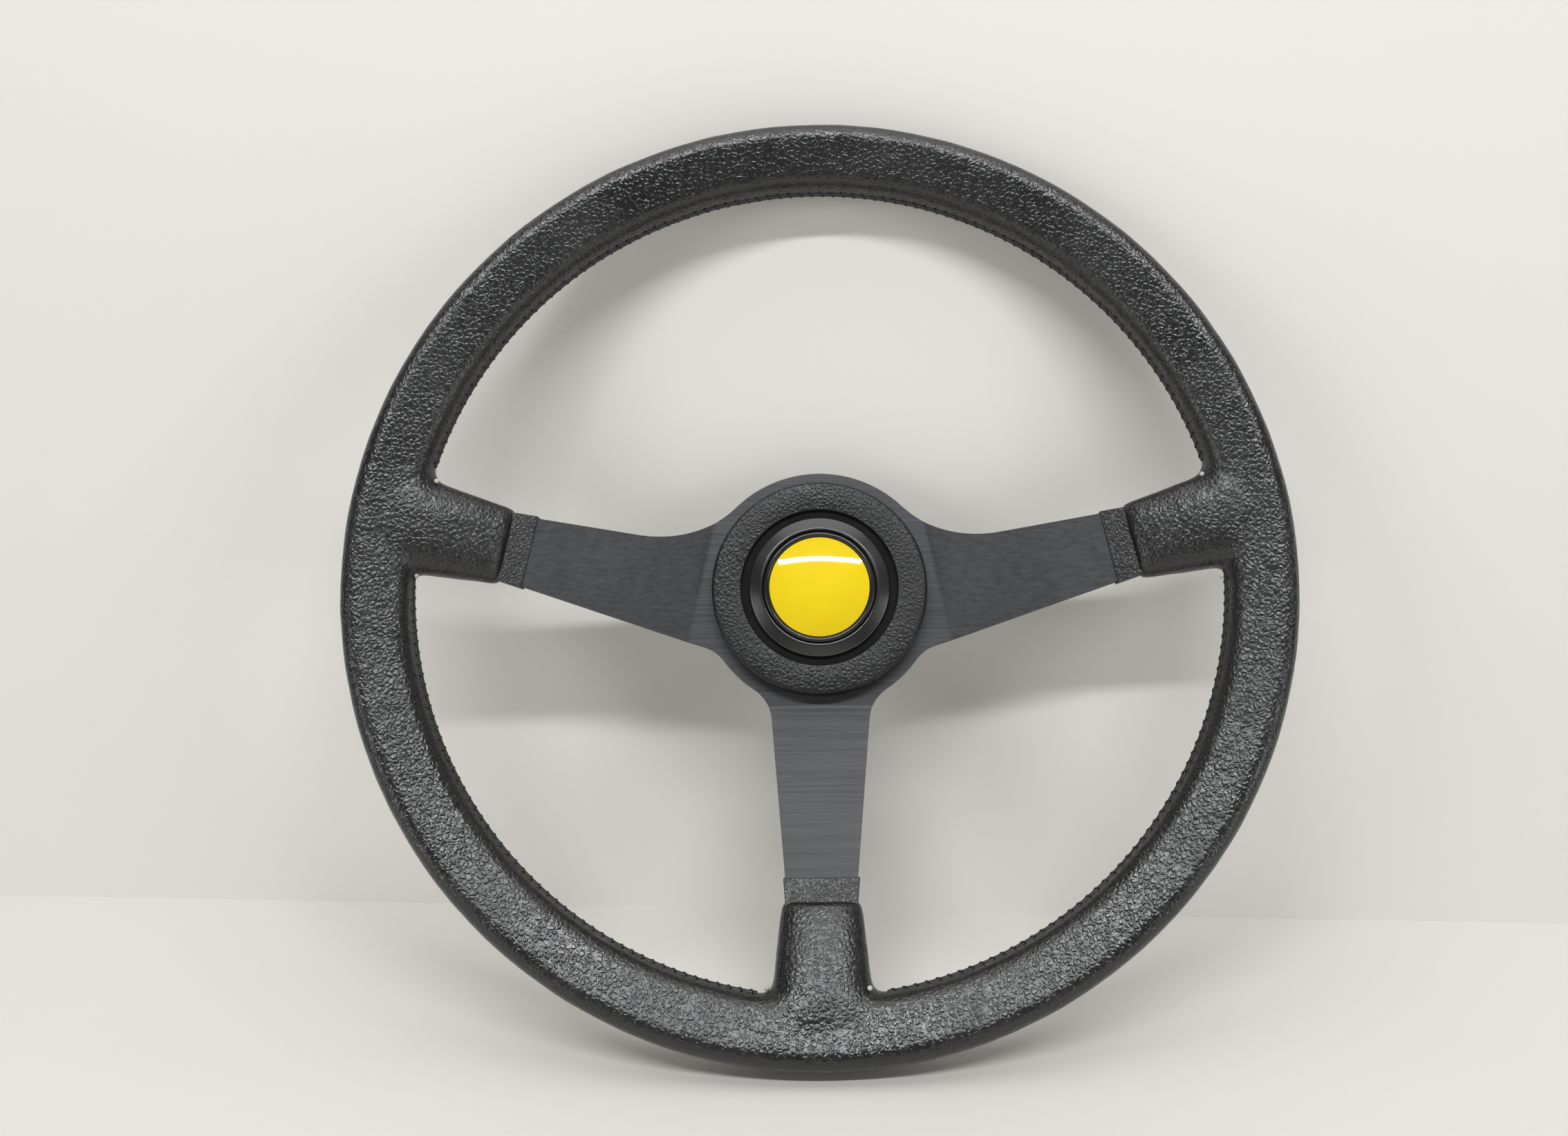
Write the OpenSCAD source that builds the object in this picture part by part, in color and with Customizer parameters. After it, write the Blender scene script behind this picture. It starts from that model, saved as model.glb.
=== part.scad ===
// Three-spoke car steering wheel with a leather rim and a horn button.
// The rear face of the hub lies in the plane y = 0 and the driver is on the -Y side.
// In the comments, "height" is the distance in front of that face, towards the driver.

/* [Rim] */
// Outside diameter of the rim, over its leather
rim_d = 380; // [340:1:420]
// Width of the grip, measured in the plane of the rim
grip_w = 27.5; // [25:0.5:32]
// Depth of the grip, from front to back
grip_depth = 25.5; // [23:0.5:30]
// Radius of the two front shoulders of the grip
front_round = 7; // [5:0.5:9]
// Radius of the two rear shoulders of the grip
rear_round = 10.5; // [8:0.5:11]
// Height of the middle of the grip over the hub's rear face
dish = 40; // [25:1:55]
// Thickness of the leather on the rim
leather_t = 1.2; // [0.9:0.1:1.6]

/* [Seam] */
// Distance of the seam behind the middle of the grip
seam_back = 2.5; // [0:0.5:4]
// Diameter of the sewing thread laid along the seam
thread_d = 1; // [0.6:0.1:1.2]
// Gap between the thread and the walls of its groove
thread_gap = 0.15; // [0.1:0.05:0.25]
// Height of the thread over the leather beside it
thread_proud = 0.2; // [0.1:0.05:0.3]
// Distance of the thread's ends from the padded roots
thread_end = 1; // [0.5:0.1:2]

/* [Rim core] */
// Width of the flat steel ring inside the rim
core_w = 14; // [10:1:16]
// Thickness of the flat steel ring
core_t = 3; // [2:0.5:4]
// Distance of the ring's rear face behind the middle of the grip
core_back = 1; // [0:0.5:2]
// Shank diameter of the rivets that hold the spokes to the ring
rivet_d = 5; // [4:0.5:6]
// Head diameter of those rivets
rivet_head_d = 8.5; // [7:0.5:9]
// Height of a rivet head
rivet_head_h = 2; // [1.5:0.5:2.5]
// Distance between the two rivets of a spoke
rivet_pitch = 10; // [9.5:0.5:11]

/* [Spoke plate] */
// Thickness of the aluminium plate
plate_t = 4; // [3:0.5:5]
// Diameter of the round hub of the plate
hub_plate_d = 101; // [98:1:108]
// Distance from the wheel's axis to the bend of each spoke
bend_s = 50; // [49:1:54]
// Inside radius of the bends
bend_r = 6; // [4:1:8]
// Distance inside the rim at which the flat end of each spoke begins
pad_in = 9.5; // [6.5:0.5:12.5]
// Distance of the plate's end outside the steel ring
pad_over = 1; // [0.5:0.1:1.5]
// Angle of the two side spokes over the horizontal, in degrees
spoke_angle = 12; // [9:0.5:14]
// Distance at which the side spokes' centre lines pass under the wheel's axis
spoke_drop = 12; // [8:0.5:13]
// Width of each spoke where its leather tab begins
spoke_w = 28.8; // [26:0.2:32]
// Angle at which each edge of a spoke widens towards the hub, in degrees
spoke_flare = 5.4; // [4:0.2:6]
// Fillet radius over the side spokes
top_fillet = 50; // [40:1:60]
// Fillet radius between the side spokes and the bottom spoke
low_fillet = 17; // [14:1:20]

/* [Leather on the spokes] */
// Distance inside the rim at which the flat leather tab begins
tab_in = 44; // [42.5:0.5:48]
// Visible length of the flat leather tab
tab_len = 9; // [6:0.5:11]
// Thickness of the skived leather of the tab
tab_t = 0.8; // [0.6:0.1:1.2]
// Length of the tab that is tucked into the padded root
tab_tuck = 3; // [2:0.5:4]
// Width of the padded root at its inner end
root_w = 31.5; // [31:0.5:34]
// Width of the padded root where it meets the rim
root_rim_w = 39; // [36:0.5:42]
// Height of the padded root over the plate at its inner end, front and rear
root_cover = 4; // [3:0.5:5]
// Radius of the soft corner between the padded root and the rim
root_corner = 5.5; // [4:0.5:7]
// Rounding of the padded root's inner end
root_edge = 1.4; // [1:0.2:1.6]

/* [Bolt pattern] */
// Pitch circle diameter of the hub bolts
bolt_pcd = 70; // [69:0.5:74]
// Number of hub bolts
bolt_n = 6; // [3:1:8]
// Diameter of the bolt holes, for M5 screws
bolt_hole_d = 5.3; // [5.2:0.1:5.5]

/* [Bolt cover ring] */
// Width of the cover ring's grained face
ring_w = 12.35; // [11:0.05:14]
// Height of the cover ring
ring_h = 8; // [7:0.5:10]
// Width of the gap between the horn button and the grained face
face_gap = 3.4; // [2.6:0.1:4.4]
// Wall thickness of the cover ring
ring_wall = 1.8; // [1.4:0.1:2.2]
// Depth from the grained face down to the ring's inner ledge
ring_step = 2.2; // [1.6:0.1:2.6]
// Rounding of the cover ring's outer front edge
ring_round = 1.2; // [0.6:0.2:1.8]

/* [Horn button] */
// Width of the bezel, measured in the plane of the wheel
bezel_w = 5.5; // [5:0.1:6]
// Width of the bezel's skirt outside the housing's flange
bezel_wall = 1.4; // [1.2:0.1:1.6]
// Height of the bezel over the cover ring's ledge
bezel_h = 3.6; // [3.2:0.1:4]
// Height of the bezel's upright outer edge
bezel_edge = 1.7; // [1.2:0.1:2]
// Width of the bezel's broken edges
bezel_break = 0.4; // [0.2:0.1:0.6]
// Wall thickness of the housing
housing_wall = 1.3; // [1.1:0.1:1.4]
// Thickness of the housing's flange under the bezel
flange_t = 1.5; // [1.2:0.1:1.7]
// Distance of the housing's floor behind the hub's rear face
housing_back = 3; // [2.6:0.1:3.6]
// Clearance between the housing and the parts that it drops into
housing_gap = 0.3; // [0.2:0.05:0.4]
// Travel of the horn cap
travel = 2.2; // [1.6:0.1:2.4]
// Sliding clearance of the cap in its housing
cap_gap = 0.1; // [0.08:0.01:0.15]
// Clearance between the cap and the bezel around it
cap_ring_gap = 0.3; // [0.25:0.05:0.4]
// Width of the cap's lip that the bezel holds down
cap_lip = 0.6; // [0.5:0.05:0.8]
// Width of the cap's border round the emblem
cap_border = 2.6; // [2.2:0.1:3]
// Clearance left at the cap's end stops
stop_gap = 0.1; // [0.05:0.01:0.15]
// Diameter of the emblem
emblem_d = 42; // [40:0.2:42.4]
// Thickness of the emblem disc
emblem_t = 0.4; // [0.3:0.1:0.6]
// Height of the clear dome over the emblem
dome_h = 1.5; // [1:0.1:2]
// Height of the dome's upright edge
dome_edge = 0.3; // [0.2:0.1:0.5]
// Clearance round the emblem in its seat
emblem_gap = 0.1; // [0.05:0.05:0.15]
// Depth of the emblem's seat in the cap
emblem_sink = 1; // [0.8:0.1:1.2]
// Thickness of the cap under the emblem
cap_web = 1.5; // [1.2:0.1:2]
// Wall thickness of the cap's skirt
cap_wall = 1.5; // [1.2:0.1:1.8]
// Distance of the cap's rim behind the front of the bezel
cap_back = 0.5; // [0.3:0.1:0.8]

/* [Horn contacts] */
// Thickness of the brass contacts
brass_t = 0.8; // [0.6:0.1:1]
// Diameter of the hole in the middle of the contact cup
cup_hole_d = 4; // [3:0.5:10]
// Inside diameter of the fixed contact ring
contact_d = 26; // [25:0.5:27]
// Radial width of the fixed contact ring
contact_w = 5; // [4:0.5:5.5]
// Thickness of the insulating disc
insulator_t = 2; // [1.6:0.1:2.2]
// Height of the disc's outer rim, which stops the pressed cap
stop_rim_h = 1.2; // [1:0.1:1.3]
// Width of the terminal blades
blade_w = 6.3; // [4.8:0.1:6.4]
// Length of the terminal blades behind the housing
blade_l = 10; // [8:0.5:12]
// Clearance round a terminal blade in its slot
blade_gap = 0.2; // [0.1:0.05:0.3]
// Wire diameter of the return spring
spring_wire = 0.9; // [0.7:0.1:1]
// Mean diameter of the return spring
spring_d = 18; // [17:0.5:19]
// Number of turns of the return spring
spring_turns = 4; // [3:1:5]
// Radial width of the brass ring that the spring stands on
base_w = 6; // [4:0.5:6]
// Diameter of the three posts that hold the contact cup to the cap
post_d = 2.4; // [2:0.1:2.6]
// Clearance round a post in the contact cup
post_gap = 0.1; // [0.05:0.05:0.15]
// Length of a post behind the contact cup
post_end = 0.6; // [0.4:0.1:0.8]
// Thickness of the retaining ring behind the plate
clip_t = 1.2; // [1:0.1:1.3]
// Radial width of the retaining ring
clip_w = 2.6; // [2.4:0.1:2.8]
// Depth of the retaining ring's groove in the housing
clip_groove = 0.7; // [0.5:0.1:0.8]
// Clearance of the retaining ring in its groove
clip_gap = 0.05; // [0.03:0.01:0.08]
// Angle left open between the ends of the retaining ring, in degrees
clip_open = 30; // [20:2:40]
// Distance of the retaining ring in front of the hub's rear face
clip_sink = 0.2; // [0.1:0.1:0.4]

/* [Hidden] */
$fn = 96;
small = 0.01;
reach = 300;

// Rim
rim_c = (rim_d - grip_w) / 2;
rim_in = rim_c - grip_w / 2;
rim_front = dish + grip_depth / 2;
rim_back = dish - grip_depth / 2;
seam_r = rim_in + thread_d / 2 - thread_proud;
seam_h = dish - seam_back;

// Bent strip that every spoke is cut from
pad_front = dish - core_back;
pad_s = rim_in - pad_in;
pad_mid = pad_front - plate_t / 2;
pad_end = rim_c + core_w / 2 + pad_over;
spoke_rise = atan((pad_mid - plate_t / 2) / (pad_s - bend_s));
bend_mid_r = bend_r + plate_t / 2;
bend_len = bend_mid_r * tan(spoke_rise / 2);
bend_steps = 6;
strip_w = hub_plate_d * 0.7;
flat_s = bend_s - bend_len;

// Padded leather roots
tab_s = rim_in - tab_in;
root_s = tab_s + tab_len;
root_mid = plate_t / 2 + (root_s - bend_s) * tan(spoke_rise);
root_half = plate_t / 2 / cos(spoke_rise) + root_cover;
root_sink = 0.5;
root_rings = 11;
root_sides = 28;
root_power = 2.7;
edge_share = 0.3;
front_flow = 1.9;
rear_flow = 1.4;
corner_spread = 0.8;
corner_end = 1.3;
side_top = spoke_angle + root_edge_angle(spoke_drop, 1);
side_low = spoke_angle + root_edge_angle(spoke_drop, -1);
bottom_edge = root_edge_angle(0, 1);

// Diameters of the hub, from the emblem outwards
cap_d = emblem_d + 2 * (emblem_gap + cap_border);
bezel_id = cap_d + 2 * cap_ring_gap;
bezel_d = bezel_id + 2 * bezel_w;
housing_bore_d = bezel_id + 2 * cap_lip;
housing_d = housing_bore_d + 2 * housing_wall;
ring_face_d = bezel_d + 2 * face_gap;
ring_d = ring_face_d + 2 * ring_w;

// Hub, as heights over the rear face
ring_top = plate_t + ring_h;
ledge = ring_top - ring_step;
flange_top = ledge + flange_t;
bezel_top = ledge + bezel_h;
plate_bore_d = housing_d + 2 * housing_gap;
clip_pocket_d = housing_d - 2 * clip_groove + 2 * clip_w + 2 * housing_gap;
clip_pocket = clip_t + clip_sink;
floor_top = housing_wall - housing_back;
insulator_top = floor_top + insulator_t;
contact_top = insulator_top + brass_t;
blade_out = (contact_d + contact_w) / 2;
blade_in = (spring_d - spring_wire) / 2;

// Horn cap
lip_top = flange_top - stop_gap;
cap_top = bezel_top - cap_back;
cap_seat = cap_top - emblem_sink;
cap_under = cap_seat - cap_web;
cap_lip_d = housing_bore_d - 2 * cap_gap;
cap_foot = insulator_top + stop_rim_h + travel + stop_gap;
cup_foot = contact_top + travel + stop_gap;
cup_d = contact_d + contact_w + brass_t;
post_r = (spring_d + cup_d) / 4;
spring_gap = 0.05;

// Turns a profile of radius and height about the wheel's axis
module turned(sweep = 360) {
    rotate([90, 0, 0]) rotate_extrude(angle = sweep) children();
}

// Raises a flat outline of x and z from one height to another
module raised(low, high) {
    translate([0, -low, 0]) rotate([90, 0, 0]) linear_extrude(high - low) children();
}

// The three spoke frames: X runs out along the spoke, Z across it, -Y to the driver
module right_spoke() {
    rotate([0, -spoke_angle, 0]) translate([0, 0, -spoke_drop]) children();
}

module left_spoke() {
    mirror([1, 0, 0]) right_spoke() children();
}

module bottom_spoke() {
    rotate([0, 90, 0]) children();
}

module each_spoke() {
    right_spoke() children();
    left_spoke() children();
    bottom_spoke() children();
}

// Centre line of the bent strip as distance, height and slope, with an arc at each bend
function strip_path() = [
    for (i = [0:bend_steps])
        let (a = spoke_rise * i / bend_steps)
        [
            flat_s + bend_mid_r * sin(a),
            plate_t / 2 + bend_mid_r * (1 - cos(a)),
            a
        ],
    for (i = [bend_steps:-1:0])
        let (a = spoke_rise * i / bend_steps)
        [
            pad_s + bend_len - bend_mid_r * sin(a),
            pad_mid - bend_mid_r * (1 - cos(a)),
            a
        ],
    [pad_end, pad_mid, 0]
];

// Outline of the strip in section, with a layer of the given thickness on both faces
function strip_side(offset_by) = [
    for (p = strip_path())
        [p[0] - offset_by * sin(p[2]), -p[1] - offset_by * cos(p[2])]
];

module strip_section(layer) {
    half = plate_t / 2 + layer;
    front = strip_side(half);
    rear = strip_side(-half);
    polygon(concat(front, [for (i = [len(rear) - 1:-1:0]) rear[i]]));
}

// Half the width of a spoke at a distance from the wheel's axis
function spoke_half(s) = spoke_w / 2 + (tab_s - s) * tan(spoke_flare);

// Plan of a spoke between two distances, grown by a layer on both edges
module spoke_plan(from, to, layer) {
    polygon([
        [from, -spoke_half(from) - layer],
        [to, -spoke_half(to) - layer],
        [to, spoke_half(to) + layer],
        [from, spoke_half(from) + layer]
    ]);
}

// The same plan in the wheel's own x and z
module side_plan() {
    rotate(spoke_angle) translate([0, -spoke_drop]) spoke_plan(0, pad_end, 0);
}

module hub_plan() {
    circle(d = hub_plate_d);
    side_plan();
    mirror([1, 0]) side_plan();
    rotate(-90) spoke_plan(0, pad_end, 0);
}

// Outline of the plate, its inner corners filled in
module plate_plan() {
    offset(r = -low_fillet) offset(delta = low_fillet) hub_plan();
    intersection() {
        offset(r = -top_fillet) offset(delta = top_fillet) {
            circle(d = hub_plate_d);
            side_plan();
            mirror([1, 0]) side_plan();
        }
        translate([-reach / 2, 0]) square([reach, hub_plate_d]);
    }
}

// The sheet that the plate is cut from: a flat triangle with a bent strip on each side
module bent_sheet() {
    top = flat_s / sin(spoke_angle);
    side = flat_s * (1 + sin(spoke_angle)) / cos(spoke_angle);
    corners = [[0, top], [-side, -flat_s], [side, -flat_s]];
    turns = [180 - spoke_angle, -90, spoke_angle];
    faces_of = [strip_side(plate_t / 2), strip_side(-plate_t / 2)];
    last = len(strip_path()) - 1;
    points = [
        for (face = faces_of, c = corners) [c[0], face[0][1], c[1]],
        for (e = [0:2], k = [1:last], face = faces_of, c = [corners[e], corners[(e + 1) % 3]])
            let (out = face[k][0] - flat_s)
            [c[0] + out * cos(turns[e]), face[k][1], c[1] + out * sin(turns[e])]
    ];
    function at(e, k, face, c) =
        k == 0 ? 3 * face + (e + c) % 3 : 6 + ((e * last + k - 1) * 2 + face) * 2 + c;
    polyhedron(points, [
        [0, 2, 1],
        [3, 4, 5],
        for (e = [0:2]) [at(e, last, 0, 0), at(e, last, 0, 1), at(e, last, 1, 1), at(e, last, 1, 0)],
        for (e = [0:2], k = [0:last - 1])
            each [
                [at(e, k, 0, 0), at(e, k, 0, 1), at(e, k + 1, 0, 1), at(e, k + 1, 0, 0)],
                [at(e, k, 1, 0), at(e, k + 1, 1, 0), at(e, k + 1, 1, 1), at(e, k, 1, 1)],
                [at(e, k, 1, 0), at(e, k, 0, 0), at(e, k + 1, 0, 0), at(e, k + 1, 1, 0)],
                [at(e, k, 0, 1), at(e, k, 1, 1), at(e, k + 1, 1, 1), at(e, k + 1, 0, 1)]
            ]
    ], convexity = 4);
}

// A wide bent strip in a spoke's own frame
module bent_strip(layer) {
    linear_extrude(strip_w, center = true) strip_section(layer);
}

// Rivet places on a spoke, on the middle of the steel ring
module at_rivets(drop) {
    for (side = [-1, 1]) {
        across = side * rivet_pitch / 2;
        out = sqrt(rim_c * rim_c - (across - drop) * (across - drop));
        translate([out, 0, across]) children();
    }
}

module at_each_rivet() {
    right_spoke() at_rivets(spoke_drop) children();
    left_spoke() at_rivets(spoke_drop) children();
    bottom_spoke() at_rivets(0) children();
}

module rivet_shank() {
    turned() square([rivet_d / 2, reach]);
}

module spoke_plate() {
    color([0.24, 0.24, 0.26])
    difference() {
        intersection() {
            bent_sheet();
            raised(0, rim_front) plate_plan();
        }
        raised(-1, plate_t + 1) circle(d = plate_bore_d);
        raised(-1, clip_pocket) circle(d = clip_pocket_d);
        raised(-1, plate_t + 1) bolt_places() circle(d = bolt_hole_d);
        at_each_rivet() rivet_shank();
    }
}

module bolt_places() {
    for (i = [0:bolt_n - 1]) {
        rotate(90 + i * 360 / bolt_n) translate([bolt_pcd / 2, 0]) children();
    }
}

module core_band() {
    turned() translate([rim_c - core_w / 2, pad_front]) square([core_w, core_t]);
}

module rim_core() {
    color([0.55, 0.56, 0.58])
    difference() {
        core_band();
        at_each_rivet() rivet_shank();
    }
}

// One rivet through the spoke's flat end and the steel ring
module rivet() {
    low = pad_front - plate_t;
    high = pad_front + core_t;
    turned() {
        translate([0, low - rivet_head_h]) square([rivet_d / 2, high - low + 2 * rivet_head_h]);
        translate([0, high]) square([rivet_head_d / 2, rivet_head_h]);
        translate([0, low - rivet_head_h]) square([rivet_head_d / 2, rivet_head_h]);
    }
}

module core_rivets() {
    color([0.6, 0.6, 0.62]) at_each_rivet() rivet();
}

// Section of the grip: a flat front with round shoulders and a rounder back
module grip_section(inset) {
    half_w = grip_w / 2;
    half_d = grip_depth / 2;
    hull() {
        for (side = [-1, 1]) {
            translate([side * (half_w - front_round), half_d - front_round])
                circle(r = front_round - inset, $fn = 56);
            translate([side * (half_w - rear_round), rear_round - half_d])
                circle(r = rear_round - inset, $fn = 56);
        }
    }
}

module grip(inset) {
    turned() translate([rim_c, dish]) grip_section(inset);
}

// Front, rear and half width of the padded root at a distance along the spoke
function root_out(s) = (rim_c - s) / (rim_c - root_s);
function root_front(s) =
    rim_front - root_sink
    - (rim_front - root_sink - root_mid - root_half) * pow(max(0, root_out(s)), front_flow);
function root_rear(s) =
    rim_back + root_sink
    - (rim_back + root_sink - root_mid + root_half) * pow(max(0, root_out(s)), rear_flow);
function root_swell(s) = min(corner_end, max(0, (s - rim_in + root_corner) / root_corner));
function root_wide(s) =
    root_w / 2
    + (root_rim_w - root_w) / 2 * min(1, (s - root_s) / (rim_in - root_s))
    + root_corner * corner_spread * pow(root_swell(s), 2);

// One ring of points of the root: a rounded box in section
function root_ring(s, inset, shrink) =
    let (
        half_w = root_wide(s) - inset - shrink,
        half_h = (root_front(s) - root_rear(s)) / 2 - inset - shrink,
        mid = (root_front(s) + root_rear(s)) / 2,
        power = 2 / root_power
    )
    [
        for (i = [0:root_sides - 1])
            let (a = (i + 0.5) * 360 / root_sides, c = cos(a), d = sin(a))
            [
                s,
                -mid - half_h * sign(d) * pow(abs(d), power),
                half_w * sign(c) * pow(abs(c), power)
            ]
    ];

// Padded root as a loft from its inner end to the middle of the grip
module root_form(inset) {
    start = root_s + inset;
    span = rim_c - start;
    rings = concat(
        [root_ring(start, inset, root_edge)],
        [root_ring(start + root_edge * edge_share, inset, root_edge * edge_share)],
        [
            for (k = [0:root_rings - 1])
                let (s = start + root_edge + (span - root_edge) * k / (root_rings - 1))
                root_ring(s, inset, 0)
        ]
    );
    n = root_sides;
    last = len(rings) - 1;
    walls = [
        for (k = [0:last - 1], i = [0:n - 1])
            [k * n + i, (k + 1) * n + i, (k + 1) * n + (i + 1) % n, k * n + (i + 1) % n]
    ];
    ends = [
        [for (i = [0:n - 1]) i],
        [for (i = [n - 1:-1:0]) last * n + i]
    ];
    polyhedron([for (ring = rings, p = ring) p], concat(walls, ends), convexity = 4);
}

// The whole padded form, reduced by an inset on every side
module padded_form(inset) {
    grip(inset);
    each_spoke() root_form(inset);
}

// Outside of the flat leather tab, tucked into the padded root
module tab_form() {
    intersection() {
        bent_strip(tab_t);
        raised(0, rim_front) spoke_plan(tab_s, root_s + tab_tuck, tab_t);
    }
}

module leather_tab() {
    color([0.13, 0.13, 0.14])
    difference() {
        tab_form();
        intersection() {
            bent_strip(0);
            raised(0, rim_front) spoke_plan(tab_s - tab_len, root_s + tab_len, 0);
        }
    }
}

module leather_tab_right() {
    right_spoke() leather_tab();
}

module leather_tab_left() {
    left_spoke() leather_tab();
}

module leather_tab_bottom() {
    bottom_spoke() leather_tab();
}

module rim_foam() {
    color([0.2, 0.2, 0.2])
    difference() {
        padded_form(leather_t);
        intersection() {
            each_spoke() bent_strip(0);
            raised(0, rim_front) plate_plan();
        }
        each_spoke() tab_form();
        core_band();
        at_each_rivet() rivet();
    }
}

module seam_groove() {
    turned() translate([seam_r, seam_h]) circle(d = thread_d + 2 * thread_gap, $fn = 24);
}

module rim_leather() {
    color([0.12, 0.12, 0.13])
    difference() {
        padded_form(0);
        padded_form(leather_t);
        each_spoke() tab_form();
        seam_groove();
    }
}

// Angle at which the edge of a padded root crosses the seam, seen from the axis
function root_edge_angle(drop, side) =
    asin((side * (root_wide(rim_in) + thread_end) - drop) / rim_in);

module seam_thread(from, to) {
    color([0.08, 0.08, 0.08])
    rotate([0, -from, 0])
        rotate([90, 0, 0])
            rotate_extrude(angle = to - from)
                translate([seam_r, seam_h]) circle(d = thread_d, $fn = 24);
}

module seam_thread_top() {
    seam_thread(side_top, 180 - side_top);
}

module seam_thread_right() {
    seam_thread(bottom_edge - 90, side_low);
}

module seam_thread_left() {
    seam_thread(180 - side_low, 270 - bottom_edge);
}

// Moulded ring over the bolt heads, hollow behind, with a ledge for the horn button
module bolt_cover_ring() {
    out = ring_d / 2;
    face = ring_face_d / 2;
    bore = plate_bore_d / 2;
    color([0.17, 0.17, 0.18])
    turned() difference() {
        union() {
            translate([face, plate_t]) square([out - face - ring_round, ring_h]);
            translate([face, plate_t]) square([out - face, ring_h - ring_round]);
            translate([out - ring_round, ring_top - ring_round]) circle(r = ring_round, $fn = 32);
            translate([bore, plate_t]) square([face - bore + small, ledge - plate_t]);
        }
        translate([bore + ring_wall, plate_t - 1])
            square([out - bore - 2 * ring_wall, ledge - ring_wall - plate_t + 1]);
        translate([face + ring_wall, plate_t - 1])
            square([out - face - 2 * ring_wall, ring_h - ring_wall + 1]);
    }
}

// Slots for the two terminal blades, as a plan
module blade_slots(gap) {
    for (x = [blade_out, -blade_in]) {
        translate([x - brass_t / 2 - gap, -blade_w / 2 - gap])
            square([brass_t + 2 * gap, blade_w + 2 * gap]);
    }
}

module horn_housing() {
    color([0.1, 0.1, 0.1])
    difference() {
        turned() difference() {
            union() {
                translate([0, -housing_back]) square([housing_d / 2, flange_top + housing_back]);
                translate([0, ledge]) square([bezel_d / 2 - bezel_wall - small, flange_t]);
            }
            translate([-1, floor_top]) square([housing_bore_d / 2 + 1, reach]);
            translate([housing_d / 2 - clip_groove, clip_sink - clip_gap])
                square([clip_groove + 1, clip_t + 2 * clip_gap]);
        }
        raised(-housing_back - 1, floor_top + 1) blade_slots(blade_gap);
    }
}

module horn_bezel() {
    out = bezel_d / 2;
    inner = bezel_id / 2;
    color([0.3, 0.3, 0.31])
    turned() difference() {
        polygon([
            [out, ledge],
            [out, ledge + bezel_edge],
            [out - bezel_break, ledge + bezel_edge + bezel_break],
            [inner + 2 * bezel_break, bezel_top],
            [inner, bezel_top - bezel_break],
            [inner, ledge]
        ]);
        translate([inner - 1, ledge - 1]) square([out - bezel_wall - inner + 1, flange_t + 1]);
    }
}

module retaining_ring() {
    inner = housing_d / 2 - clip_groove + clip_gap;
    color([0.6, 0.61, 0.63])
    rotate([0, 90 - clip_open / 2, 0])
        turned(360 - clip_open) translate([inner, clip_sink]) square([clip_w, clip_t]);
}

module insulator_disc() {
    out = housing_bore_d / 2 - cap_gap;
    color([0.25, 0.18, 0.12])
    difference() {
        turned() {
            translate([0, floor_top]) square([out, insulator_t]);
            translate([out - cap_wall, floor_top]) square([cap_wall, insulator_t + stop_rim_h]);
        }
        raised(floor_top - 1, insulator_top + 1) blade_slots(blade_gap);
    }
}

module blade(x) {
    raised(-housing_back - blade_l, contact_top)
        translate([x - brass_t / 2, -blade_w / 2]) square([brass_t, blade_w]);
}

module contact_ring() {
    color([0.75, 0.6, 0.3]) {
        turned() translate([contact_d / 2, insulator_top]) square([contact_w, brass_t]);
        blade(blade_out);
    }
}

module spring_base() {
    color([0.75, 0.6, 0.3]) {
        turned() translate([(spring_d - base_w) / 2, insulator_top]) square([base_w, brass_t]);
        blade(-blade_in);
    }
}

// Coil spring as a round wire swept along a helix
module horn_spring() {
    wire = spring_wire / 2;
    low = contact_top + wire + spring_gap;
    rise = cap_under - brass_t - wire - spring_gap - low;
    steps = spring_turns * 16;
    sides = 8;
    rings = [
        for (k = [0:steps], i = [0:sides - 1])
            let (a = 360 * k / 16, b = 360 * i / sides, r = spring_d / 2 + wire * cos(b))
            [r * cos(a), -(low + rise * k / steps) - wire * sin(b), r * sin(a)]
    ];
    walls = [
        for (k = [0:steps - 1], i = [0:sides - 1])
            [
                k * sides + i,
                k * sides + (i + 1) % sides,
                (k + 1) * sides + (i + 1) % sides,
                (k + 1) * sides + i
            ]
    ];
    ends = [
        [for (i = [sides - 1:-1:0]) i],
        [for (i = [0:sides - 1]) steps * sides + i]
    ];
    color([0.7, 0.7, 0.72]) polyhedron(rings, concat(walls, ends), convexity = 8);
}

// Places of the three posts that rivet the contact cup to the cap
module post_places() {
    for (i = [0:2]) {
        rotate(30 + 120 * i) translate([post_r, 0]) children();
    }
}

module contact_cup() {
    color([0.78, 0.63, 0.32])
    difference() {
        turned() {
            translate([cup_hole_d / 2, cap_under - brass_t]) square([(cup_d - cup_hole_d) / 2, brass_t]);
            translate([cup_d / 2 - brass_t, cup_foot]) square([brass_t, cap_under - cup_foot]);
        }
        raised(0, cap_under + 1) post_places() circle(d = post_d + 2 * post_gap, $fn = 32);
    }
}

module horn_cap() {
    out = cap_d / 2;
    lip = cap_lip_d / 2;
    seat = emblem_d / 2 + emblem_gap;
    bead = (out - seat) / 2;
    color([0.09, 0.09, 0.1]) {
        turned() difference() {
            union() {
                translate([0, cap_foot]) square([lip, lip_top - cap_foot]);
                translate([0, cap_foot]) square([out, cap_top - bead - cap_foot]);
                translate([out - bead, cap_top - bead]) circle(r = bead, $fn = 32);
            }
            translate([-1, cap_foot - 1]) square([lip - cap_wall + 1, cap_under - cap_foot + 1]);
            translate([-1, cap_seat]) square([seat + 1, reach]);
        }
        raised(cap_under - brass_t - post_end, cap_under + cap_web / 2) post_places() circle(d = post_d, $fn = 32);
    }
}

module emblem_disc() {
    color([0.98, 0.87, 0.08]) raised(cap_seat, cap_seat + emblem_t) circle(d = emblem_d);
}

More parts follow.
